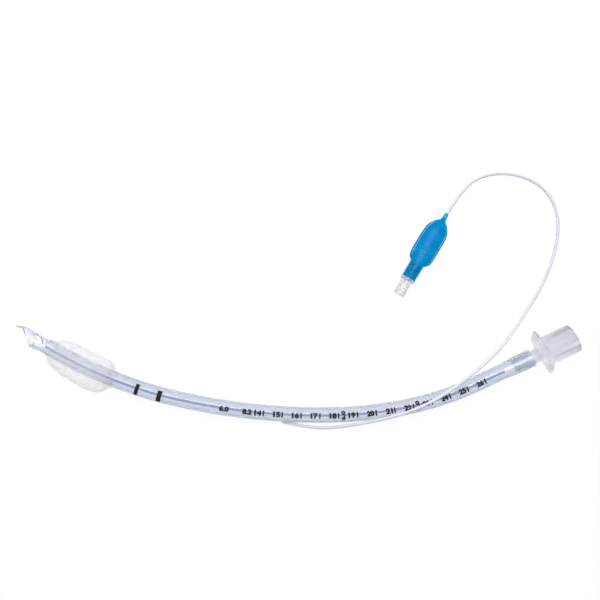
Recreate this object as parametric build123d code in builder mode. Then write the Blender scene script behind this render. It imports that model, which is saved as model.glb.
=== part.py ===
# Cuffed endotracheal tube, 6.0 mm bore, as it lies on a table.
# Millimetres, +Z up, table at Z = 0. The patient end is at -X, the machine end at +X.
import os
from math import cos, degrees, pi, radians, sin, tan

from build123d import *

os.makedirs("parts", exist_ok=True)

# The shaft: one clear PVC extrusion with a small air channel in its wall
bore = 6.0
outside = 8.2
channel_bore = 0.6
channel_radius = 3.55  # from the shaft's axis, on the outer side of the bend
channel_ends = (-130.4, -18.0)  # from the tip's root: the line's entry, the port into the cuff
port_bore = 1.6
stripe_width = 1.3
stripe_depth = 0.35
stripe_turn = 18  # from the top of the bend towards its inner side

# The bend lies in one plane, which leans because the tube rests on its middle, cuff and flange
lean = 10.2
lowest = (0.6, -22.3, outside / 2)
machine_end = (121.9, 31.65)  # in the plane of the bend
inward_angle = 206.74  # from the machine end towards the patient
straight_length = 31.4
bends = ((153, 42), (218, 40), (331, 80), (218, 74))  # radius and length, in order from the connector
flare_length = 16.0
flare_radius = 4.75
flare_middle_radius = 4.58

# The tip: waisted behind its heel, bevelled, with a beak that curls over the opening
# distance from its root, outer radius, shift to the outer side of the bend, wall
tip_stations = (
    (0.0, outside / 2, 0.0, (outside - bore) / 2),
    (1.5, 3.67, 0.42, 0.87),
    (3.2, 3.7, 0.5, 0.8),
    (5.4, 3.95, 0.9, 0.8),
    (13.5, 3.98, 0.8, 0.8),
)
beak_radius = 4.6
beak_angle = 44
beak_end = 18.8
heel = (6.9, 4.55)
bevel_middle = (10.2, 0.45)
hook_start = (14.4, -2.15)
hook_radius = 2.2
hook_angle = 49
nose_start = 10.0
eye_place = (5.5, -0.55)
eye_length = 7.8
eye_width = 4.5
eye_turn = -10

# The connector: 15 mm cone, 1 in 40, with a lugged flange and a nipple in the flared shaft
nipple_depth = 10.2
nipple_end_radius = 3.3
nipple_radius = 3.65
nipple_bore_radius = 2.6
neck_length = 5.6
neck_spread = 1.2
flange_thickness = 1.6
flange_radius = 10.1
flange_round = 0.5
lug_span = 26.0
lug_radius = 3.1
lug_roll = 9
cone_length = 16.8
cone_tip_radius = 7.5
cone_taper = 1 / 80  # radius lost for each millimetre
cone_bore_radius = 5.9
cone_edge = 0.4
throat_start = 6.4
throat_end = 10.4

# The cuff: a blown film that thickens to a collar bonded to the shaft at each end
film = 0.3
collar = 0.45
collar_outside = outside / 2 + collar
# distance from the tip's root, outer radius, shift to the outer side of the bend, lift, wall
cuff_stations = (
    (-1.5, collar_outside, 0.0, 0.0, collar),
    (-3.0, collar_outside, 0.0, 0.0, collar),
    (-3.7, 5.8, 0.0, 0.0, film),
    (-4.8, 6.8, 0.1, 0.0, film),
    (-6.6, 7.6, 0.2, 0.0, film),
    (-9.5, 8.2, 0.2, 0.0, film),
    (-13.0, 8.55, 0.3, 0.0, film),
    (-19.0, 8.95, 0.4, 0.2, film),
    (-25.0, 9.3, 0.55, 0.8, film),
    (-29.5, 9.2, 0.6, 1.1, film),
    (-33.0, 8.9, 0.5, 1.0, film),
    (-35.2, 8.0, 0.35, 0.4, film),
    (-36.5, 6.6, 0.15, 0.1, film),
    (-37.2, collar_outside, 0.0, 0.0, collar),
    (-38.7, collar_outside, 0.0, 0.0, collar),
)

# Print: two guide bands and a tick each centimetre, with distances from the beak's end
ink = 0.06
ink_gap = 0.03
bands = ((70.7, 2.0), (82.9, 2.4))  # place and width
band_sweep = 98
first_tick = 14
last_tick = 26
zero_mark = -1.2
tick_width = 0.8
tick_sweep = 42
tick_turn = 13  # towards the inner side

# The inflation line, free between the shaft and the pilot balloon, as points of its route
line_radius = 0.825
route = (
    (-9.1, -26.0, 3.4),
    (3.0, -29.0, 2.2),
    (19.5, -30.3, 1.0),
    (36.0, -28.6, 5.6),
    (53.0, -21.8, 14.6),
    (88.5, -1.2, 16.4),
    (106.0, 12.0, 8.0),
    (119.5, 27.5, 0.95),
    (132.0, 47.0, 0.9),
    (139.8, 68.0, 0.9),
    (140.6, 87.5, 0.9),
    (131.5, 102.0, 0.9),
    (114.0, 108.6, 0.9),
    (96.5, 106.2, 1.4),
    (84.961, 94.827, 4.2),
    (77.802, 82.912, 4.2),
)
bend_share = 0.45  # of the shorter run, on each side of a corner

# The pilot balloon and its check valve, along one level axis
valve_place = (57.87, 49.74, 4.2)
valve_angle = 59.0
collar_radius = 3.9
collar_start = 1.3
collar_end = 10.7
balloon_wall = 0.55
# distance along the axis, half width, half height
balloon_stations = (
    (collar_end, 3.9, 3.9),
    (12.6, 5.2, 3.95),
    (15.6, 6.45, 4.1),
    (22.0, 6.55, 4.2),
    (29.6, 6.35, 4.1),
    (33.4, 5.0, 3.5),
    (36.6, 3.0, 2.4),
    (38.0, 1.6, 1.5),
)
sleeve_start = 37.8
sleeve_end = 41.7
sleeve_radius = 1.15
port_length = 8.7
port_radius = 2.95
luer_mouth_radius = 2.13
luer_depth = 7.5
luer_taper = 0.03  # radius lost for each millimetre
ring_radius = 4.05
barrel_radius = 3.15
barrel_end = 9.8
barrel_bore_radius = 2.35
seat_radius = 1.25
seal_radius = 1.95
seal_start = 0.03
seal_end = 0.9
pin_start = -5.0
pin_radius = 0.8
pin_web = 0.5
head_radius = 1.8
head_end = 1.6
rod_radius = 0.75
rod_end = 8.9
rod_clearance = 0.05
base_start = 8.3
vent_radius = 0.45
vent_circle = 1.55
vent_count = 3
spring_radius = 1.25
wire_radius = 0.17
spring_turns = 7.5

# Planes and the shaft's centreline
bend_up = Vector(0, -sin(radians(lean)), cos(radians(lean)))
bend_plane = Plane(origin=lowest, x_dir=(1, 0, 0), z_dir=bend_up)

with BuildLine(bend_plane) as centreline:
    run = PolarLine(start=machine_end, length=straight_length, angle=inward_angle)
    for radius, length in bends:
        run = JernArc(start=run @ 1, tangent=run % 1, radius=radius, arc_size=-degrees(length / radius))
axis_wire = centreline.wires()[0]
axis_length = axis_wire.length
flare_end = flare_length - axis_length


def across(from_root):
    """Plane across the shaft: X up out of the bend, Y to its inner side, Z towards the patient."""
    along = axis_length + from_root
    return Plane(
        origin=axis_wire.position_at(along, position_mode=PositionMode.LENGTH),
        x_dir=bend_up,
        z_dir=axis_wire.tangent_at(along, position_mode=PositionMode.LENGTH),
    )


def between(start, end):
    """The stretch of the centreline between two distances from the tip's root."""
    return axis_wire.trim(1 + start / axis_length, 1 + end / axis_length)


def section_of(plane):
    """Plane through another's axis: X is the radius and Y the distance along that axis."""
    return Plane(origin=plane.origin, x_dir=plane.x_dir, z_dir=-plane.y_dir)


def axis_of(plane):
    return Axis(origin=plane.origin, direction=plane.z_dir)


def turned(plane, angle):
    """The same plane, turned about its own normal."""
    towards = plane.x_dir * cos(radians(angle)) + plane.y_dir * sin(radians(angle))
    return Plane(origin=plane.origin, x_dir=towards, z_dir=plane.z_dir)


root_plane = across(0)
end_plane = across(-axis_length)
outward = Plane(origin=end_plane.origin, x_dir=bend_up, z_dir=-end_plane.z_dir)
tip_side = Plane(origin=root_plane.origin, x_dir=root_plane.z_dir, z_dir=bend_up)
tip_top = Plane(origin=root_plane.origin, x_dir=root_plane.z_dir, z_dir=-tip_side.y_dir)
valve_axis = Vector(cos(radians(valve_angle)), sin(radians(valve_angle)), 0)
valve = Plane(origin=valve_place, x_dir=(0, 0, 1), z_dir=valve_axis)

# The inflation line: straight runs joined by the largest tangent arcs they allow
corners = [Vector(*point) for point in route]
runs = [end - start for start, end in zip(corners, corners[1:])]
bend_radii = [
    bend_share * min(before.length, after.length) / tan(radians(before.get_angle(after)) / 2)
    for before, after in zip(runs, runs[1:])
]
with BuildPart() as inflation_line:
    with BuildLine() as line_path:
        FilletPolyline(*route, radius=bend_radii)
    line_wire = line_path.wires()[0]
    with BuildSketch(Plane(origin=line_wire @ 0, z_dir=line_wire % 0)):
        Circle(line_radius)
    sweep(path=line_wire)
inflation_line.part.label = "inflation_line"
export_step(inflation_line.part, "parts/inflation_line.step")

# The tip, bevelled to its outer side, with an eye through each flank
with BuildPart() as tip:
    for place, radius, aside, wall in tip_stations:
        with BuildSketch(root_plane.offset(place)):
            with Locations((0, -aside)):
                Circle(radius)
    loft(ruled=True)
    for place, radius, aside, wall in tip_stations:
        with BuildSketch(root_plane.offset(place)):
            with Locations((0, -aside)):
                Circle(radius - wall)
    loft(ruled=True, mode=Mode.SUBTRACT)
    with BuildSketch(root_plane.offset(place)):
        with Locations((0, -aside)):
            Circle(radius)
            Circle(radius - wall, mode=Mode.SUBTRACT)
    with BuildLine(tip_side) as beak_line:
        JernArc(start=(place, aside), tangent=(1, 0), radius=beak_radius, arc_size=beak_angle)
    sweep(path=beak_line.wires()[0])
    with BuildSketch(tip_side):
        with BuildLine():
            bevel = ThreePointArc(heel, bevel_middle, hook_start)
            hook = JernArc(start=bevel @ 1, tangent=bevel % 1, radius=hook_radius, arc_size=hook_angle)
            lip = PolarLine(start=hook @ 1, length=beak_end, direction=hook % 1)
            Polyline(lip @ 1, (heel[0], (lip @ 1).Y), heel)
        make_face()
    extrude(amount=outside, both=True, mode=Mode.SUBTRACT)
    with BuildSketch(tip_top):
        with Locations((nose_start / 2, 0)):
            Rectangle(nose_start, outside)
        with Locations((nose_start, 0)):
            Ellipse(beak_end - nose_start, outside / 2)
    extrude(amount=outside, both=True, mode=Mode.INTERSECT)
    with BuildSketch(tip_side):
        with Locations(eye_place):
            Ellipse(eye_length / 2, eye_width / 2, rotation=eye_turn)
    extrude(amount=outside, both=True, mode=Mode.SUBTRACT)

# The shaft: the extrusion along the bend, its flared end, its tip and its air channel
with BuildPart() as tube_shaft:
    with BuildSketch(turned(across(flare_end), stripe_turn)):
        Circle(outside / 2)
        Circle(bore / 2, mode=Mode.SUBTRACT)
        with Locations((outside / 2, 0)):
            Rectangle(2 * stripe_depth, stripe_width, mode=Mode.SUBTRACT)
    sweep(path=between(flare_end, 0))
    with BuildSketch(section_of(end_plane)):
        with BuildLine():
            Polyline(
                (outside / 2, flare_length),
                (bore / 2, flare_length),
                (nipple_end_radius, nipple_depth),
                (nipple_radius, 0),
                (flare_radius, 0),
            )
            ThreePointArc(
                (flare_radius, 0), (flare_middle_radius, flare_length / 2), (outside / 2, flare_length)
            )
        make_face()
    revolve(axis=axis_of(end_plane))
    add(tip.part)
    with BuildSketch(across(channel_ends[0])):
        with Locations((0, -channel_radius)):
            Circle(channel_bore / 2)
    sweep(path=between(*channel_ends), mode=Mode.SUBTRACT)
    port_side = across(channel_ends[1])
    port = Plane(origin=port_side.origin, x_dir=port_side.z_dir, z_dir=-port_side.y_dir)
    with BuildSketch(port.offset(channel_radius)):
        Circle(port_bore / 2)
    extrude(amount=outside / 2, mode=Mode.SUBTRACT)
    add(inflation_line.part, mode=Mode.SUBTRACT)
tube_shaft.part.label = "tube_shaft"
export_step(tube_shaft.part, "parts/tube_shaft.step")

# The radiopaque stripe, laid flush into the groove on top
with BuildPart() as xray_line:
    with BuildSketch(turned(across(flare_end), stripe_turn)):
        Circle(outside / 2)
        with Locations((outside / 2, 0)):
            Rectangle(2 * stripe_depth, stripe_width, mode=Mode.INTERSECT)
    sweep(path=between(flare_end, 0))
xray_line.part.label = "xray_line"
export_step(xray_line.part, "parts/xray_line.step")

# The cuff: film blown to an uneven sleeve, bonded to the shaft at both ends
with BuildPart() as cuff:
    for place, radius, aside, lift, wall in cuff_stations:
        with BuildSketch(across(place)):
            with Locations((lift, -aside)):
                Circle(radius)
    loft(ruled=True)
    for place, radius, aside, lift, wall in cuff_stations:
        with BuildSketch(across(place)):
            with Locations((lift, -aside)):
                Circle(radius - wall)
    loft(ruled=True, mode=Mode.SUBTRACT)
cuff.part.label = "cuff"
export_step(cuff.part, "parts/cuff.step")

# The connector, moulded in one: nipple, neck, lugged flange and 15 mm cone
cone_start = neck_length + flange_thickness
cone_end = cone_start + cone_length
cone_base_radius = cone_tip_radius + cone_length * cone_taper
with BuildPart() as connector:
    with BuildSketch(outward.offset(neck_length)):
        Circle(flange_radius)
        with PolarLocations(lug_span / 2 - lug_radius, 2, start_angle=90 + lug_roll):
            Circle(lug_radius)
        make_hull()
    extrude(amount=flange_thickness)
    fillet(connector.edges(), flange_round)
    with BuildSketch(section_of(outward)):
        Polygon(
            (0, -nipple_depth),
            (nipple_end_radius, -nipple_depth),
            (nipple_radius, 0),
            (nipple_radius, neck_length - neck_spread),
            (nipple_radius + neck_spread, neck_length),
            (cone_base_radius, cone_start),
            (cone_tip_radius, cone_end - cone_edge),
            (cone_tip_radius - cone_edge, cone_end),
            (0, cone_end),
            align=None,
        )
    revolve(axis=axis_of(outward))
    with BuildSketch(section_of(outward)):
        Polygon(
            (0, -nipple_depth),
            (nipple_bore_radius, -nipple_depth),
            (nipple_bore_radius, throat_start),
            (cone_bore_radius, throat_end),
            (cone_bore_radius, cone_end),
            (0, cone_end),
            align=None,
        )
    revolve(axis=axis_of(outward), mode=Mode.SUBTRACT)
connector.part.label = "connector"
export_step(connector.part, "parts/connector.step")


# The print, as patches of ink round the top of the shaft
with BuildPart() as guide_bands:
    for distance, width in bands:
        place = across(beak_end - distance)
        with BuildSketch(section_of(turned(place, -band_sweep / 2))):
            with Locations((outside / 2 + ink_gap + ink / 2, 0)):
                Rectangle(ink, width)
        revolve(axis=axis_of(place), revolution_arc=band_sweep)
guide_bands.part.label = "guide_bands"
export_step(guide_bands.part, "parts/guide_bands.step")

with BuildPart() as depth_ticks:
    for centimetre in range(first_tick, last_tick + 1):
        place = across(beak_end - zero_mark - 10 * centimetre)
        with BuildSketch(section_of(turned(place, tick_turn - tick_sweep / 2))):
            with Locations((outside / 2 + ink_gap + ink / 2, 0)):
                Rectangle(ink, tick_width)
        revolve(axis=axis_of(place), revolution_arc=tick_sweep)
depth_ticks.part.label = "depth_ticks"
export_step(depth_ticks.part, "parts/depth_ticks.step")

# The pilot balloon: a flat blown bag with a collar for the valve and a sleeve for the line
with BuildPart() as pilot_balloon:
    for inset, mode in ((0, Mode.ADD), (balloon_wall, Mode.SUBTRACT)):
        for place, half_width, half_height in balloon_stations:
            with BuildSketch(valve.offset(place)):
                Ellipse(half_height - inset, half_width - inset)
        loft(ruled=True, mode=mode)
        if mode == Mode.ADD:
            with BuildSketch(valve.offset(collar_start)):
                Circle(collar_radius)
            extrude(amount=collar_end - collar_start)
            with BuildSketch(valve.offset(sleeve_start)):
                Circle(sleeve_radius)
            extrude(amount=sleeve_end - sleeve_start)
    with BuildSketch(valve.offset(collar_start)):
        Circle(barrel_radius)
    extrude(amount=collar_end - collar_start, mode=Mode.SUBTRACT)
    with BuildSketch(valve.offset(sleeve_start)):
        Circle(line_radius)
    extrude(amount=sleeve_end - sleeve_start, mode=Mode.SUBTRACT)
pilot_balloon.part.label = "pilot_balloon"
export_step(pilot_balloon.part, "parts/pilot_balloon.step")

# The check valve's body: luer port, stop ring, and the barrel inside the balloon's collar
luer_bottom = luer_depth - port_length
with BuildPart() as valve_body:
    with BuildSketch(section_of(valve)):
        Polygon(
            (luer_mouth_radius, -port_length),
            (port_radius, -port_length),
            (port_radius, 0),
            (ring_radius, 0),
            (ring_radius, collar_start),
            (barrel_radius, collar_start),
            (barrel_radius, barrel_end),
            (barrel_bore_radius, barrel_end),
            (barrel_bore_radius, 0),
            (seat_radius, 0),
            (seat_radius, luer_bottom),
            (luer_mouth_radius - luer_depth * luer_taper, luer_bottom),
            align=None,
        )
    revolve(axis=axis_of(valve))
valve_body.part.label = "valve_body"
export_step(valve_body.part, "parts/valve_body.step")

# The seal ring that closes against the seat
with BuildPart() as valve_seal:
    with BuildSketch(valve.offset(seal_start)):
        Circle(seal_radius)
        Circle(pin_radius, mode=Mode.SUBTRACT)
    extrude(amount=seal_end - seal_start)
valve_seal.part.label = "valve_seal"
export_step(valve_seal.part, "parts/valve_seal.step")

# The stem: a cross-shaped pin that a syringe's tip pushes, a head behind the seal, a guide rod
with BuildPart() as valve_stem:
    with BuildSketch(valve.offset(pin_start)):
        Rectangle(2 * pin_radius, pin_web)
        Rectangle(pin_web, 2 * pin_radius)
    extrude(amount=seal_start - pin_start)
    with BuildSketch(valve.offset(seal_start)):
        Circle(pin_radius)
    extrude(amount=seal_end - seal_start)
    with BuildSketch(valve.offset(seal_end)):
        Circle(head_radius)
    extrude(amount=head_end - seal_end)
    with BuildSketch(valve.offset(head_end)):
        Circle(rod_radius)
    extrude(amount=rod_end - head_end)
valve_stem.part.label = "valve_stem"
export_step(valve_stem.part, "parts/valve_stem.step")

# The base that closes the barrel, guides the rod and lets the air through
with BuildPart() as valve_base:
    with BuildSketch(valve.offset(base_start)):
        Circle(barrel_bore_radius)
        Circle(rod_radius + rod_clearance, mode=Mode.SUBTRACT)
        with PolarLocations(vent_circle, vent_count):
            Circle(vent_radius, mode=Mode.SUBTRACT)
    extrude(amount=barrel_end - base_start)
valve_base.part.label = "valve_base"
export_step(valve_base.part, "parts/valve_base.step")

# The spring between the stem's head and the base
spring_length = base_start - head_end - 2 * wire_radius
with BuildPart() as valve_spring:
    with BuildLine() as coil:
        Helix(
            pitch=spring_length / spring_turns,
            height=spring_length,
            radius=spring_radius,
            center=valve.offset(head_end + wire_radius).origin,
            direction=valve_axis,
        )
    coil_wire = coil.wires()[0]
    with BuildSketch(Plane(origin=coil_wire @ 0, z_dir=coil_wire % 0)):
        Circle(wire_radius)
    sweep(path=coil_wire, is_frenet=True)
valve_spring.part.label = "valve_spring"
export_step(valve_spring.part, "parts/valve_spring.step")

line_section = pi * line_radius**2
print("shaft, connector end to beak:", round(axis_length + beak_end, 1))
print("line radii:", [round(radius, 1) for radius in bend_radii])
print("line length:", round(line_wire.length, 1))
print("line volume over section times length:", round(inflation_line.part.volume / line_section / line_wire.length, 4))
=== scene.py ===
# Cuffed endotracheal tube on a white table, seen from straight above
from math import cos, pi, radians, sin, tan

import bpy
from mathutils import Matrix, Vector


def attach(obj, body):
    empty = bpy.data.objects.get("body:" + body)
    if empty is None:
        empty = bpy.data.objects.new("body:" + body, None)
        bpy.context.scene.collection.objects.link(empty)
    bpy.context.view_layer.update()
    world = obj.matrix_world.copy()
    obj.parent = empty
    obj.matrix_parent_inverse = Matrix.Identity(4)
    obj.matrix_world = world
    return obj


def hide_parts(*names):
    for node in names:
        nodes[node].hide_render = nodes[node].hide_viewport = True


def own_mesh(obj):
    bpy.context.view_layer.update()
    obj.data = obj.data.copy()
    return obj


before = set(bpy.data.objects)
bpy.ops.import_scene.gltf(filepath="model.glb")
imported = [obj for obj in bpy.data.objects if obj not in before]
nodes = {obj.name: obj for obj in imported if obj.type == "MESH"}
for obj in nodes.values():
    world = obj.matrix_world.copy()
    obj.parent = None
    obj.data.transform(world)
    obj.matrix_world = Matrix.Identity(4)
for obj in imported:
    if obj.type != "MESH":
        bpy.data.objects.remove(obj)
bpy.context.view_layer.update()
mm = 0.001
creaseAngle = radians(32)  # a sharper corner than this stays a crease in the shading
print("frame loaded,", len(nodes), "nodes")


# Small helpers
def deselect():
    if bpy.context.object and bpy.context.object.mode != "OBJECT":
        bpy.ops.object.mode_set(mode="OBJECT")
    bpy.ops.object.select_all(action="DESELECT")


def pick(piece):
    deselect()
    piece.select_set(True)
    bpy.context.view_layer.objects.active = piece


def colour(hexValue):  # sRGB hex to the linear values that shaders take
    channels = [int(hexValue[i:i + 2], 16) / 255 for i in (1, 3, 5)]
    return [c / 12.92 if c <= 0.04045 else ((c + 0.055) / 1.055) ** 2.4 for c in channels] + [1]


def addNode(tree, kind, settings=None, inputs=None):
    node = tree.nodes.new(kind)
    for name, value in (settings or {}).items():
        setattr(node, name, value)
    for name, value in (inputs or {}).items():
        if isinstance(value, bpy.types.NodeSocket):
            tree.links.new(value, node.inputs[name])
        else:
            node.inputs[name].default_value = value
    return node


def newMaterial(name, hexValue, settings):
    material = bpy.data.materials.new(name)
    material.use_nodes = True
    shader = material.node_tree.nodes["Principled BSDF"]
    shader.inputs["Base Color"].default_value = colour(hexValue)
    for socket, value in settings.items():
        shader.inputs[socket].default_value = value
    return material, material.node_tree, shader


def surfaceNoise(tree, scale, detail=2):  # scale is in grains for each metre
    coords = addNode(tree, "ShaderNodeTexCoord")
    noise = addNode(
        tree,
        "ShaderNodeTexNoise",
        inputs={"Vector": coords.outputs["Object"], "Scale": scale, "Detail": detail},
    )
    return noise.outputs["Fac"]


def addBump(tree, shader, height, strength):
    bump = addNode(
        tree, "ShaderNodeBump", inputs={"Height": height, "Strength": strength, "Distance": 0.2 * mm}
    )
    tree.links.new(bump.outputs["Normal"], shader.inputs["Normal"])


def dress(piece, material):
    piece.data.materials.clear()
    piece.data.materials.append(material)


# The shaft's centreline: a straight and four arcs in a plane that leans
shaft = {
    "outside": 8.2,
    "lean": radians(10.2),
    "lowest": Vector((0.6, -22.3, 4.1)),
    "machineEnd": (121.9, 31.65),
    "heading": radians(206.74),
    "straight": 31.4,
    "bends": ((153, 42), (218, 40), (331, 80), (218, 74)),
    "length": 267.4,
    "beakEnd": 18.8,
}
shaftUp = Vector((0, -sin(shaft["lean"]), cos(shaft["lean"])))
shaftAcross = Vector((0, cos(shaft["lean"]), sin(shaft["lean"])))


# The centre, the direction to the patient and the inner side, at a distance from the tip's root
def onShaft(fromRoot):
    left = shaft["length"] + fromRoot
    u, v = shaft["machineEnd"]
    heading = shaft["heading"]
    step = min(left, shaft["straight"])
    u += step * cos(heading)
    v += step * sin(heading)
    left -= step
    for radius, length in shaft["bends"]:
        step = max(0, min(left, length))
        turned = heading - step / radius
        u += radius * (sin(heading) - sin(turned))
        v += radius * (cos(turned) - cos(heading))
        heading = turned
        left -= step
    u += max(0, left) * cos(heading)
    v += max(0, left) * sin(heading)
    centre = shaft["lowest"] + Vector((u, 0, 0)) + shaftAcross * v
    direction = Vector((cos(heading), 0, 0)) + shaftAcross * sin(heading)
    return centre, direction, direction.cross(shaftUp)


# Takes a piece made straight, in millimetres, with X to the patient, Y to the inner side and Z up
def bendToShaft(piece):
    for vertex in piece.data.vertices:
        along, inner, up = vertex.co
        centre, _, side = onShaft(along)
        vertex.co = (centre + side * inner + shaftUp * up) * mm
    piece.data.update()


# Materials
# Plasticised PVC, extruded: clear, with a cold blue cast that deepens where the wall is seen edge on
def clearPvc():
    material, tree, shader = newMaterial(
        "plasticisedPvc",
        "#F6F8FE",
        {"Roughness": 0.08, "IOR": 1.45, "Transmission Weight": 0.9, "Alpha": 0.86},
    )
    addBump(tree, shader, surfaceNoise(tree, scale=260), strength=0.05)
    body = addNode(tree, "ShaderNodeVolumeAbsorption", inputs={"Color": colour("#8A9ECA"), "Density": 150.0})
    tree.links.new(body.outputs["Volume"], tree.nodes["Material Output"].inputs["Volume"])
    return material


def stripePvc():  # barium-filled PVC: an opaque blue-grey thread
    return newMaterial("bariumPvc", "#76839F", {"Roughness": 0.4})[0]


def printInk():  # screen ink, flat black with a slight break-up at its edges
    material, tree, shader = newMaterial(
        "screenInk", "#0D0C0F", {"Roughness": 0.6, "Specular IOR Level": 0.15}
    )
    ramp = addNode(tree, "ShaderNodeValToRGB", inputs={"Fac": surfaceNoise(tree, scale=1800)})
    ramp.color_ramp.elements[0].color = colour("#09080A")
    ramp.color_ramp.elements[1].color = colour("#1B181C")
    tree.links.new(ramp.outputs["Color"], shader.inputs["Base Color"])
    return material


def cuffFilm():  # blown polyurethane film: milky where it is slack, thin enough to show the shaft through it
    material, tree, shader = newMaterial(
        "blownFilm", "#F1F0F2", {"Roughness": 0.45, "IOR": 1.4, "Specular IOR Level": 0.3}
    )
    haze = surfaceNoise(tree, scale=300, detail=3)
    alpha = addNode(
        tree,
        "ShaderNodeMapRange",
        inputs={"Value": haze, "From Min": 0.3, "From Max": 0.7, "To Min": 0.08, "To Max": 0.2},
    )
    tree.links.new(alpha.outputs["Result"], shader.inputs["Alpha"])
    return material


def connectorPp():  # natural polypropylene, moulded: white-grey, see-through like thin wax
    material, tree, shader = newMaterial(
        "naturalPolypropylene", "#EEEFF5", {"Roughness": 0.45, "IOR": 1.25, "Transmission Weight": 1.0}
    )
    addBump(tree, shader, surfaceNoise(tree, scale=400), strength=0.08)
    return material


def linePvc():  # thin PVC line: clear, but milky where its own bore scatters the light
    return newMaterial("linePvc", "#E6E9F0", {"Roughness": 0.5, "IOR": 1.3, "Transmission Weight": 0.15})[0]


def bluePvc():  # tinted PVC sheet, welded and blown: strong azure that the light comes through
    material, tree, shader = newMaterial(
        "tintedPvcSheet",
        "#00BAE2",
        {"Roughness": 0.22, "IOR": 1.16, "Transmission Weight": 0.85, "Specular IOR Level": 0.2},
    )
    ramp = addNode(tree, "ShaderNodeValToRGB", inputs={"Fac": surfaceNoise(tree, scale=160)})
    ramp.color_ramp.elements[0].position = 0.3
    ramp.color_ramp.elements[0].color = colour("#00B2DE")
    ramp.color_ramp.elements[1].position = 0.75
    ramp.color_ramp.elements[1].color = colour("#06C2E8")
    tree.links.new(ramp.outputs["Color"], shader.inputs["Base Color"])
    return material


def weldBlue():  # the same sheet, painted paler: a painted highlight along the weld, where the blown sheet catches the light
    return newMaterial("weldPaintedHighlight", "#48CCF4", {"Roughness": 0.3})[0]


def clearPc():  # clear polycarbonate, moulded: it lets light through with a soft milky shine
    return newMaterial(
        "clearPolycarbonate", "#F5F5F8", {"Roughness": 0.32, "IOR": 1.3, "Transmission Weight": 0.85}
    )[0]


def whiteAcetal():  # acetal, moulded: dense white with a waxy gloss
    return newMaterial("whiteAcetal", "#E4E6EC", {"Roughness": 0.35})[0]


def sealRubber():  # silicone ring
    return newMaterial("siliconeRing", "#8E9098", {"Roughness": 0.6})[0]


def springSteel():  # stainless spring wire, drawn: grey with a soft shine
    return newMaterial("springWire", "#8F949C", {"Roughness": 0.28, "Metallic": 1.0})[0]


ink = printInk()
polycarbonate = clearPc()
dress(nodes["tube_shaft"], clearPvc())
dress(nodes["xray_line"], stripePvc())
dress(nodes["guide_bands"], ink)
dress(nodes["depth_ticks"], ink)
dress(nodes["valve_body"], polycarbonate)
dress(nodes["valve_base"], polycarbonate)
dress(nodes["valve_stem"], whiteAcetal())
dress(nodes["valve_seal"], sealRubber())
for node in nodes.values():
    pick(node)
    bpy.ops.object.shade_smooth_by_angle(angle=creaseAngle)
print("materials on the CAD nodes")

# The connector keeps the moulded form, with the nipple a hair slimmer than the flared end that grips it
nipple = {"from": -0.2, "to": 10.4, "bore": 2.7, "slimmer": 0.12}
pick(nodes["connector"])
bpy.ops.object.duplicate()
connectorPiece = bpy.context.object
connectorPiece.name = "fittingConnector"
bpy.ops.object.transform_apply(location=True, rotation=True, scale=True)
bpy.ops.object.mode_set(mode="EDIT")
bpy.ops.mesh.select_all(action="SELECT")
bpy.ops.mesh.remove_doubles(threshold=0.001 * mm)
bpy.ops.object.mode_set(mode="OBJECT")
flareMouth, towardsTip = onShaft(-shaft["length"])[:2]
for vertex in connectorPiece.data.vertices:
    reach = vertex.co / mm - flareMouth
    along = reach.dot(towardsTip)
    outwards = reach - towardsTip * along
    if nipple["from"] < along < nipple["to"] and outwards.length > nipple["bore"]:
        vertex.co -= outwards.normalized() * nipple["slimmer"] * mm
connectorPiece.data.update()
bpy.ops.object.shade_smooth_by_angle(angle=creaseAngle)
dress(connectorPiece, connectorPp())
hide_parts("connector")
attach(connectorPiece, "tube")
print("connector fitted")

# The cuff, drawn ring by ring along a straight axis, then laid on the shaft
cuffSizes = {
    "sides": 64,
    "film": 0.1,
    "folds": (("lobes", 9, 0.9), ("creases", 3, 0.2)),  # name, size, depth
    "foldLevel": 0.6,
    # distance from the tip's root, radius, shift to the outer side, lift
    "rings": (
        (-1.5, 4.3, 0, 0), (-1.6, 4.5, 0, 0), (-2.8, 4.5, 0, 0), (-3.2, 4.9, 0, 0), (-3.7, 5.8, 0, 0),
        (-4.8, 6.8, 0.1, 0), (-6.6, 7.6, 0.2, 0), (-9.5, 8.2, 0.2, 0), (-13.0, 8.55, 0.3, 0),
        (-16.0, 8.8, 0.35, 0.1), (-19.0, 8.95, 0.4, 0.2), (-22.0, 9.15, 0.5, 0.5), (-25.0, 9.3, 0.55, 0.8),
        (-29.5, 9.2, 0.6, 1.0), (-33.0, 8.85, 0.5, 0.9), (-35.2, 8.0, 0.35, 0.4), (-36.5, 6.6, 0.15, 0.1),
        (-37.1, 5.0, 0, 0), (-37.4, 4.5, 0, 0), (-38.6, 4.5, 0, 0), (-38.7, 4.3, 0, 0),
    ),
}
deselect()
rings = cuffSizes["rings"]
bpy.ops.mesh.primitive_circle_add(
    vertices=cuffSizes["sides"], radius=rings[0][1], location=(rings[0][0], 0, 0), rotation=(0, pi / 2, 0)
)
cuffPiece = bpy.context.object
cuffPiece.name = "inflatedCuff"
bpy.ops.object.transform_apply(location=True, rotation=True, scale=True)
bpy.ops.object.mode_set(mode="EDIT")
bpy.ops.mesh.select_all(action="SELECT")
for before, after in zip(rings, rings[1:]):
    step = (after[0] - before[0], before[2] - after[2], after[3] - before[3])
    bpy.ops.mesh.extrude_region_move(TRANSFORM_OT_translate={"value": step})
    grow = after[1] / before[1]
    bpy.ops.transform.resize(value=(1, grow, grow), center_override=(after[0], -after[2], after[3]))
bpy.ops.mesh.select_all(action="SELECT")
bpy.ops.mesh.normals_make_consistent(inside=False)
bpy.ops.object.mode_set(mode="OBJECT")
bendToShaft(cuffPiece)
smooth = cuffPiece.modifiers.new("smooth", "SUBSURF")
smooth.levels = smooth.render_levels = 2
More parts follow.
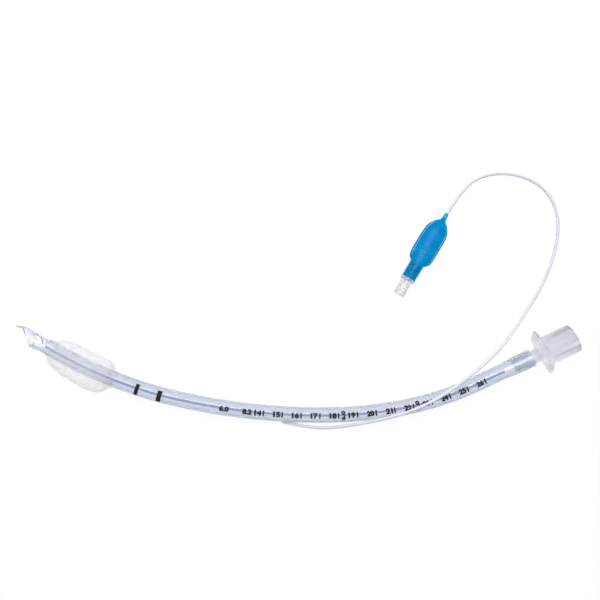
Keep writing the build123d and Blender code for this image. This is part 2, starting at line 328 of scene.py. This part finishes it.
bpy.ops.object.modifier_apply(modifier="smooth")
for name, size, depth in cuffSizes["folds"]:
    cloud = bpy.data.textures.new(name, "CLOUDS")
    cloud.noise_scale = size * mm
    push = cuffPiece.modifiers.new(name, "DISPLACE")
    push.texture = cloud
    push.texture_coords = "LOCAL"
    push.strength = depth * mm
    push.mid_level = cuffSizes["foldLevel"]
    bpy.ops.object.modifier_apply(modifier=name)
wall = cuffPiece.modifiers.new("wall", "SOLIDIFY")
wall.thickness = cuffSizes["film"] * mm
wall.offset = -1
bpy.ops.object.modifier_apply(modifier="wall")
bpy.ops.object.shade_smooth()
dress(cuffPiece, cuffFilm())
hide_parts("cuff")
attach(cuffPiece, "tube")
print("cuff blown")

# The inflation line, one smooth curve through the air from the shaft to the pilot balloon
inflationLine = {
    "diameter": 1.65,
    "length": 297,
    "points": (
        (-9.1, -26.0, 3.4), (3.0, -28.8, 2.2), (14.0, -30.2, 1.0), (31.0, -27.2, 5.6), (54.5, -20.3, 14.0),
        (71.5, -12.0, 16.3), (86.5, -1.8, 15.4), (106.0, 12.0, 8.0), (119.5, 27.5, 0.95), (132.0, 47.0, 0.9),
        (139.8, 68.0, 0.9), (140.6, 87.5, 0.9), (131.5, 102.0, 0.9), (114.0, 108.6, 0.9), (96.5, 106.2, 1.4),
        (84.961, 94.827, 4.2), (77.802, 82.912, 4.2),
    ),
}
lineCurve = bpy.data.curves.new("inflationLine", "CURVE")
lineCurve.dimensions = "3D"
route = lineCurve.splines.new("NURBS")
route.points.add(len(inflationLine["points"]) - 1)
for knot, place in zip(route.points, inflationLine["points"]):
    knot.co = (place[0] * mm, place[1] * mm, place[2] * mm, 1)
route.order_u = 3
route.use_endpoint_u = True
route.resolution_u = 16
lineCurve.bevel_depth = inflationLine["diameter"] / 2 * mm
lineCurve.bevel_resolution = 6
lineCurve.use_fill_caps = True
linePiece = bpy.data.objects.new("inflationLine", lineCurve)
bpy.context.scene.collection.objects.link(linePiece)
dress(linePiece, linePvc())
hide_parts("inflation_line")
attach(linePiece, "tube")
print("line laid")

# The pilot balloon: two blue sheets welded along their sides and blown, with a neck at each end
balloon = {
    "place": Vector((57.87, 49.74, 4.2)),
    "angle": radians(59),
    "sides": 48,
    "wall": 0.45,
    "weld": 0.8,
    "weldHalfHeight": 0.35,
    "blownFrom": 12.4,
    "blownTo": 35.4,
    # distance along the axis, half width, half height
    "rings": (
        (1.35, 3.75, 3.75), (1.5, 3.9, 3.9), (10.4, 3.9, 3.9), (10.9, 4.2, 3.8), (11.6, 5.2, 3.75),
        (12.8, 6.1, 3.75), (14.6, 6.55, 3.8), (18.0, 6.7, 3.8), (22.5, 6.7, 3.8), (27.0, 6.65, 3.7),
        (30.6, 6.4, 3.5), (32.6, 5.7, 3.2), (34.6, 4.5, 2.7), (36.2, 3.1, 2.1), (37.2, 1.9, 1.6),
        (37.9, 1.25, 1.2), (41.6, 1.15, 1.15), (41.7, 0.9, 0.9),
    ),
}
balloonAlong = Vector((cos(balloon["angle"]), sin(balloon["angle"]), 0))
balloonAside = Vector((-sin(balloon["angle"]), cos(balloon["angle"]), 0))


def onValveAxis(along, aside, up):  # the place in metres of a point along the valve, beside it and above it
    return (balloon["place"] + balloonAlong * along + balloonAside * aside + Vector((0, 0, up))) * mm


def layOnValveAxis(piece):  # a piece made along X, with Y aside and Z up, in millimetres
    for vertex in piece.data.vertices:
        vertex.co = onValveAxis(*vertex.co)
    piece.data.update()


# How high a blown sheet stands at a distance aside from the balloon's middle
def sheetHeight(aside, halfWidth, halfHeight):
    reach = min(1, abs(aside) / (halfWidth - balloon["weld"]))
    return balloon["weldHalfHeight"] + (halfHeight - balloon["weldHalfHeight"]) * (1 - reach ** 2) ** 0.5


deselect()
rings = balloon["rings"]
bpy.ops.mesh.primitive_circle_add(
    vertices=balloon["sides"], radius=1, location=(rings[0][0], 0, 0), rotation=(0, pi / 2, 0)
)
balloonPiece = bpy.context.object
balloonPiece.name = "pilotBalloon"
bpy.ops.object.transform_apply(location=True, rotation=True, scale=True)
bpy.ops.object.mode_set(mode="EDIT")
bpy.ops.mesh.select_all(action="SELECT")
bpy.ops.transform.resize(value=(1, rings[0][1], rings[0][2]), center_override=(rings[0][0], 0, 0))
for before, after in zip(rings, rings[1:]):
    bpy.ops.mesh.extrude_region_move(TRANSFORM_OT_translate={"value": (after[0] - before[0], 0, 0)})
    bpy.ops.transform.resize(
        value=(1, after[1] / before[1], after[2] / before[2]), center_override=(after[0], 0, 0)
    )
bpy.ops.mesh.select_all(action="SELECT")
bpy.ops.mesh.normals_make_consistent(inside=False)
bpy.ops.object.mode_set(mode="OBJECT")
for vertex in balloonPiece.data.vertices:  # the two sheets meet in a thin flat weld along each side
    along, aside, up = vertex.co
    ring = min(rings, key=lambda ring: abs(ring[0] - along))
    if balloon["blownFrom"] < along < balloon["blownTo"]:
        lift = sheetHeight(aside, ring[1], ring[2])
        vertex.co[2] = lift if up >= 0 else -lift
layOnValveAxis(balloonPiece)
smooth = balloonPiece.modifiers.new("smooth", "SUBSURF")
smooth.levels = smooth.render_levels = 2
bpy.ops.object.modifier_apply(modifier="smooth")
wall = balloonPiece.modifiers.new("wall", "SOLIDIFY")
wall.thickness = balloon["wall"] * mm
wall.offset = -1
bpy.ops.object.modifier_apply(modifier="wall")
bpy.ops.object.shade_smooth()
dress(balloonPiece, bluePvc())
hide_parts("pilot_balloon")
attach(balloonPiece, "tube")

# The weld between the two sheets, a fine bead just inside the edge, in a paler blue that is a painted
# highlight
weld = {"inside": 0.95, "radius": 0.17, "proud": 0.1}
bead = []
for along, halfWidth, halfHeight in rings:
    if balloon["blownFrom"] < along < balloon["blownTo"]:
        aside = halfWidth - weld["inside"]
        bead.append((along, aside, sheetHeight(aside, halfWidth, halfHeight) + weld["proud"]))
bead += [(along, -aside, up) for along, aside, up in reversed(bead)]
weldCurve = bpy.data.curves.new("weldBead", "CURVE")
weldCurve.dimensions = "3D"
edge = weldCurve.splines.new("NURBS")
edge.points.add(len(bead) - 1)
for knot, place in zip(edge.points, bead):
    knot.co = (*onValveAxis(*place), 1)
edge.order_u = 3
edge.use_cyclic_u = True
edge.resolution_u = 8
weldCurve.bevel_depth = weld["radius"] * mm
weldCurve.bevel_resolution = 2
weldPiece = bpy.data.objects.new("weldBead", weldCurve)
bpy.context.scene.collection.objects.link(weldPiece)
# the bead's paler blue is a painted highlight, not the sheet's own colour
dress(weldPiece, weldBlue())
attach(weldPiece, "tube")

# The check valve's spring, wound by a screw of a small circle
spring = {
    "start": 1.6,
    "end": 8.3,
    "radius": 1.25,
    "wire": 0.17,
    "wireSides": 10,
    "turns": 7.5,
    "steps": 150,
    "travel": 1.2,
}
deselect()
bpy.ops.mesh.primitive_circle_add(
    vertices=spring["wireSides"],
    radius=spring["wire"],
    location=(spring["start"] + spring["wire"], 0, spring["radius"]),
    rotation=(pi / 2, 0, 0),
)
springPiece = bpy.context.object
springPiece.name = "valveSpring"
bpy.ops.object.transform_apply(location=True, rotation=True, scale=True)
wind = springPiece.modifiers.new("wind", "SCREW")
wind.axis = "X"
wind.angle = 2 * pi * spring["turns"]
wind.screw_offset = spring["end"] - spring["start"] - 2 * spring["wire"]
wind.steps = wind.render_steps = spring["steps"]
bpy.ops.object.modifier_apply(modifier="wind")
bpy.ops.object.mode_set(mode="EDIT")
bpy.ops.mesh.select_mode(type="EDGE")
bpy.ops.mesh.select_all(action="DESELECT")
bpy.ops.mesh.select_non_manifold()
bpy.ops.mesh.fill()
bpy.ops.mesh.select_all(action="SELECT")
bpy.ops.mesh.normals_make_consistent(inside=False)
bpy.ops.object.mode_set(mode="OBJECT")
layOnValveAxis(springPiece)
bpy.ops.object.shade_smooth()
dress(springPiece, springSteel())
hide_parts("valve_spring")
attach(springPiece, "tube")
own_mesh(springPiece)
print("pilot balloon and its spring made")

# The print: each number stands left of its tick, and the size is given in figures
printing = {
    "zero": -1.2,
    "raise": 0.05,
    "bolder": 0.07,
    "turned": radians(13),
    "height": 3.1,
    "width": 3.9,
    "gap": 1.0,
    "tickStep": 10,
    "numbers": range(14, 27),
    # figures, distance of their middle from the beak's end, width, height, quarter turns
    "sizes": (
        ("6.0", 117.8, 5.2, 3.1, 0),
        ("8.2", 130.1, 5.1, 3.1, 0),
        ("6.0", 181.3, 5.3, 2.4, 1),
        ("6.0", 221.2, 5.3, 2.4, 1),
    ),
}


def printWord(name, word, fromBeak, width, height, turns):
    deselect()
    bpy.ops.object.text_add()
    piece = bpy.context.object
    piece.name = name
    piece.data.body = word
    piece.data.align_x = "CENTER"
    piece.data.offset = printing["bolder"]
    piece.data.resolution_u = 4
    bpy.ops.object.convert(target="MESH")
    low = [min(vertex.co[axis] for vertex in piece.data.vertices) for axis in (0, 1)]
    high = [max(vertex.co[axis] for vertex in piece.data.vertices) for axis in (0, 1)]
    piece.scale = (width / (high[0] - low[0]), height / (high[1] - low[1]), 1)
    piece.location = (-(high[0] + low[0]) / 2 * piece.scale[0], -(high[1] + low[1]) / 2 * piece.scale[1], 0)
    bpy.ops.object.transform_apply(location=True, rotation=False, scale=True)
    bpy.ops.object.mode_set(mode="EDIT")
    bpy.ops.mesh.select_all(action="SELECT")
    bpy.ops.mesh.quads_convert_to_tris()
    bpy.ops.mesh.subdivide(number_cuts=2)
    bpy.ops.object.mode_set(mode="OBJECT")
    radius = shaft["outside"] / 2 + printing["raise"]
    for vertex in piece.data.vertices:
        right, up = vertex.co[0], vertex.co[1]
        for turn in range(turns):
            right, up = -up, right
        centre, _, side = onShaft(shaft["beakEnd"] - fromBeak - right)
        angle = up / radius + printing["turned"]
        vertex.co = (centre + side * radius * sin(angle) + shaftUp * radius * cos(angle)) * mm
    piece.data.update()
    dress(piece, ink)
    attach(piece, "tube")


for number in printing["numbers"]:
    middle = printing["tickStep"] * number + printing["zero"] - printing["gap"] - printing["width"] / 2
    printWord(f"number{number}", str(number), middle, printing["width"], printing["height"], 0)
for index, (word, middle, width, height, turns) in enumerate(printing["sizes"]):
    printWord(f"size{index}", word, middle, width, height, turns)
print("print laid on the shaft")


# The table and the studio
# shownRays gives 1 for a ray that shows the background: to the camera, in a gloss or through a clear part
def shownRays(tree):
    rays = addNode(tree, "ShaderNodeLightPath").outputs
    larger = {"operation": "MAXIMUM"}
    direct = addNode(tree, "ShaderNodeMath", larger, {0: rays["Is Camera Ray"], 1: rays["Is Glossy Ray"]})
    return addNode(
        tree, "ShaderNodeMath", larger, {0: direct.outputs[0], 1: rays["Is Transmission Ray"]}
    ).outputs[0]


studio = {
    "camera": Vector((0.6, 39.3, 330)),
    "view": radians(52.51),
    "sensor": 36,
    "table": 1.6,
    "tablePlace": (0, 0.03, -0.0005),
    "tableGlow": 0.9,
    "glowStrength": 1.02,
    "skyStrength": 0.75,
    "lampAim": Vector((0, 0.02, 0)),
    "lamps": (  # name, place, size, watts
        ("overhead", (0.05, 0.25, 0.75), 0.5, 5.0),
        ("fill", (-0.45, 0.1, 0.6), 0.5, 1.0),
    ),
}
deselect()
bpy.ops.mesh.primitive_plane_add(size=studio["table"], location=studio["tablePlace"])
table = bpy.context.object
table.name = "table"
# White laminate: most of it glows to the rays that show it, and the rest is matt and takes the shadow
whiteTable = bpy.data.materials.new("whiteTable")
whiteTable.use_nodes = True
tree = whiteTable.node_tree
tree.nodes.clear()
share = addNode(
    tree, "ShaderNodeMath", {"operation": "MULTIPLY"}, {0: shownRays(tree), 1: studio["tableGlow"]}
)
matt = addNode(tree, "ShaderNodeBsdfDiffuse", inputs={"Color": colour("#F4F4F6")})
glow = addNode(tree, "ShaderNodeEmission", inputs={"Color": (1, 1, 1, 1), "Strength": studio["glowStrength"]})
mix = addNode(
    tree, "ShaderNodeMixShader", inputs={0: share.outputs[0], 1: matt.outputs[0], 2: glow.outputs[0]}
)
addNode(tree, "ShaderNodeOutputMaterial", inputs={"Surface": mix.outputs[0]})
dress(table, whiteTable)

# The room lights the object, darker towards low Y, and the backdrop that is seen is pale all round
world = bpy.data.worlds.new("studioWorld")
bpy.context.scene.world = world
world.use_nodes = True
tree = world.node_tree
tree.nodes.clear()
coords = addNode(tree, "ShaderNodeTexCoord")
parts = addNode(tree, "ShaderNodeSeparateXYZ", inputs={"Vector": coords.outputs["Generated"]})
ramp = addNode(tree, "ShaderNodeValToRGB", inputs={"Fac": parts.outputs["Y"]})
ramp.color_ramp.elements[0].position = 0.0
ramp.color_ramp.elements[0].color = colour("#34363E")
ramp.color_ramp.elements[1].position = 0.5
ramp.color_ramp.elements[1].color = colour("#F0F0F2")
sky = addNode(
    tree, "ShaderNodeBackground", inputs={"Color": ramp.outputs["Color"], "Strength": studio["skyStrength"]}
)
backdrop = addNode(tree, "ShaderNodeBackground", inputs={"Color": colour("#FBFBFC"), "Strength": 1.0})
mix = addNode(
    tree, "ShaderNodeMixShader", inputs={0: shownRays(tree), 1: sky.outputs[0], 2: backdrop.outputs[0]}
)
addNode(tree, "ShaderNodeOutputWorld", inputs={"Surface": mix.outputs[0]})

for name, place, size, watts in studio["lamps"]:
    light = bpy.data.lights.new(name, "AREA")
    light.size = size
    light.energy = watts
    lamp = bpy.data.objects.new(name, light)
    lamp.location = place
    lamp.rotation_mode = "QUATERNION"
    lamp.rotation_quaternion = (studio["lampAim"] - lamp.location).to_track_quat("-Z", "Y")
    bpy.context.scene.collection.objects.link(lamp)

lens = bpy.data.cameras.new("camera")
lens.sensor_width = studio["sensor"]
lens.lens = studio["sensor"] / 2 / tan(studio["view"] / 2)
lens.dof.use_dof = False
camera = bpy.data.objects.new("camera", lens)
camera.location = studio["camera"] * mm
bpy.context.scene.collection.objects.link(camera)
bpy.context.scene.camera = camera
bpy.context.scene.view_settings.view_transform = "Standard"
print("studio set")
